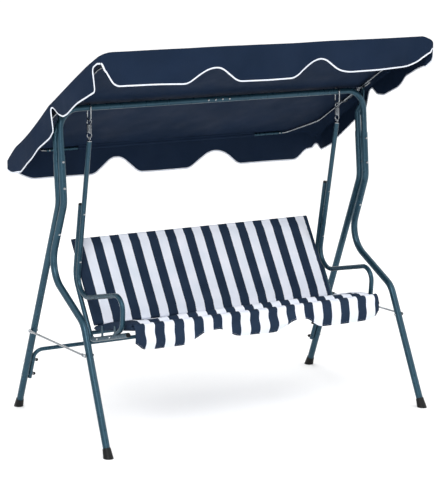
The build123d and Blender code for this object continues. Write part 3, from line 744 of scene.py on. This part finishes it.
seat_centre = np.array(SEAT_FRONT) + SEAT_FORWARD * (COVER_RADIUS - SEAT_LENGTH / 2)
seat_cover = cushion("seat_cover", seat_centre, SEAT_FORWARD, SEAT_FACE, SEAT_LENGTH / 2, seat_thickness)
inflate(seat_cover, lambda p: rim_distance(p, seat_centre, SEAT_FORWARD, SEAT_LENGTH / 2) < 0.045)
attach(seat_cover, "bench")
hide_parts("seat_pad")


def seat_valance_bottom(x):
    """Height of the seat valance's scalloped edge."""
    return rounded_line(x, SEAT_SCALLOP, 0.020)


def seat_valance():
    """The striped flap over the front roll of the seat, waving a little as it falls."""
    section = np.array(SEAT_FLAP)
    travel = np.concatenate([[0], np.cumsum(np.linalg.norm(np.diff(section, axis=0), axis=1))])
    x = even_steps(seat_valance_bottom, -COVER_HALF_X, COVER_HALF_X, 260)
    fall = travel[-1] - (seat_valance_bottom(x) - section[-1, 1])
    rows, cloth = [], []
    for share in np.linspace(0, 1, 26):
        down = share * fall
        y = rounded_line(down, list(zip(travel, section[:, 0])), 0.006)
        z = rounded_line(down, list(zip(travel, section[:, 1])), 0.006)
        free = smooth((down - 0.020) / 0.030)
        depth = 0.0045 + 0.0030 * np.sin(9 * x + 1.0)
        wave = depth * np.sin(2 * math.pi * (down - 0.015) / 0.085 + 0.8 * np.sin(6 * x))
        ripple = 0.0040 * np.sin(17 * x + 0.6) * share
        inset = COVER_HALF_X - np.abs(x)
        calm_ends = smooth(inset / 0.05)
        tuck = 0.008 * (1 - smooth(inset / 0.020)) * smooth((down - 0.008) / 0.02)
        rows.append(np.stack([x, y - free * calm_ends * (wave + ripple) + tuck, z], axis=-1))
        cloth.append(np.stack([x + STRIPES_FROM, -down], axis=-1))
    striped = materials["striped_cloth"]
    sheet = piece_from_grid("seat_valance_cloth", np.array(rows), np.array(cloth), striped)
    thicken(sheet, 0.0016)
    trims = binding("seat_valance_hem", rows[-1], rows[-2], x + STRIPES_FROM, striped)
    return sheet, trims, float(np.sum(fall[1:] * np.diff(x))), float(fall.max())


flap, flap_trims, flap_area, flap_length = seat_valance()
for item in (flap, *flap_trims):
    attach(item, "bench")
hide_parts("seat_valance")


# ---- Springs -----------------------------------------------------------------------------
def coil_spring(label):
    """A close-wound spring with a round loop at each end, one continuous wire."""
    low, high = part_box(f"spring_{label}")
    middle = (low + high) / 2
    wire = 0.0019       # radii of the wire, the end loops and the coil
    ring = 0.011
    coil = 0.0098
    half = 0.018        # half the coiled height
    turns = 9.0
    top_ring = high.z - wire - ring
    bottom_ring = low.z + wire + ring
    points = []
    for turn in np.linspace(math.radians(215), math.radians(-70), 16):
        points.append((ring * math.cos(turn), 0.0, top_ring + ring * math.sin(turn) - middle.z))
    for turn in np.linspace(0, turns * 2 * math.pi, int(turns * 14)):
        height = half - 2 * half * turn / (turns * 2 * math.pi)
        points.append((coil * math.cos(turn), coil * math.sin(turn), height))
    for turn in np.linspace(math.radians(70), math.radians(-215), 16):
        points.append((ring * math.cos(turn), 0.0, bottom_ring + ring * math.sin(turn) - middle.z))
    curve = bpy.data.curves.new(f"spring_wire_{label}", "CURVE")
    curve.dimensions = "3D"
    curve.bevel_depth = wire
    curve.bevel_resolution = 3
    curve.resolution_u = 3
    curve.use_fill_caps = True
    spline = curve.splines.new("NURBS")
    spline.points.add(len(points) - 1)
    for target, place in zip(spline.points, points):
        target.co = (*(middle + Vector(place)), 1)
    spline.order_u = 3
    spline.use_endpoint_u = True
    template = bpy.data.objects.new(f"spring_wire_{label}", curve)
    mesh = bpy.data.meshes.new_from_object(template)
    bpy.data.objects.remove(template)
    mesh.materials.clear()
    mesh.materials.append(materials["plated_steel"])
    mesh.polygons.foreach_set("use_smooth", np.ones(len(mesh.polygons), bool))
    spring = linked(f"coil_spring_{label}", mesh)
    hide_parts(f"spring_{label}")
    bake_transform(spring)


coil_spring("left")
coil_spring("right")


# ---- Studio ------------------------------------------------------------------------------
def studio():
    """A pale floor that reaches past any view, a pale surround, and soft lights."""
    mesh = bpy.data.meshes.new("floor")
    reach = 150
    corners = [(-reach, -reach, 0), (reach, -reach, 0), (reach, reach, 0), (-reach, reach, 0)]
    mesh.from_pydata(corners, [], [(0, 1, 2, 3)])
    material, tree, shader = material_with("floor", Roughness=0.9, Specular_IOR_Level=0.1)
    tone = ramp(tree, object_noise(tree, 0.8), grey(0.97), grey(0.99))
    tree.links.new(tone, shader.inputs["Base Color"])
    mesh.materials.append(material)
    linked("floor", mesh)

    world = bpy.data.worlds.new("surround")
    world.use_nodes = True
    tree = world.node_tree
    direction = add(tree, "ShaderNodeTexCoord").outputs["Generated"]
    height = add(tree, "ShaderNodeSeparateXYZ", {"Vector": direction}).outputs["Z"]
    sky = ramp(tree, height, grey(0.42), grey(1.0), 0.05, 0.75)
    background = tree.nodes["Background"]
    tree.links.new(sky, background.inputs["Color"])
    background.inputs["Strength"].default_value = 1.30
    bpy.context.scene.world = world

    for name, place, width, height, power in (
        ("key", (-3.2, -3.8, 4.2), 2.2, 2.2, 110),
        ("fill", (4.0, -3.0, 2.4), 2.4, 2.4, 40),
        ("back", (1.0, 4.2, 3.6), 3.0, 3.0, 50),
        ("strip", (-3.4, -4.6, 1.6), 0.35, 2.6, 30),
    ):
        light = bpy.data.lights.new(name, "AREA")
        light.shape = "RECTANGLE"
        light.size = width
        light.size_y = height
        light.energy = power
        lamp = linked(name, light)
        lamp.location = place
        lamp.rotation_mode = "QUATERNION"
        lamp.rotation_quaternion = (Vector((0, 0, 0.8)) - Vector(place)).to_track_quat("-Z", "Y")


def camera():
    """A long lens from the front left, a little above the bench."""
    azimuth, elevation = math.radians(-29.9347), math.radians(10.8102)
    back = Vector((
        math.sin(azimuth) * math.cos(elevation),
        -math.cos(azimuth) * math.cos(elevation),
        math.sin(elevation),
    ))
    lens = bpy.data.cameras.new("camera")
    lens.lens = 142.06
    lens.sensor_width = 36
    view = linked("camera", lens)
    view.location = (-4.4243, -7.6812, 2.4525)
    view.rotation_mode = "QUATERNION"
    view.rotation_quaternion = (-back).to_track_quat("-Z", "Y")
    bpy.context.scene.camera = view


studio()
camera()
bpy.context.scene.view_settings.view_transform = "Standard"
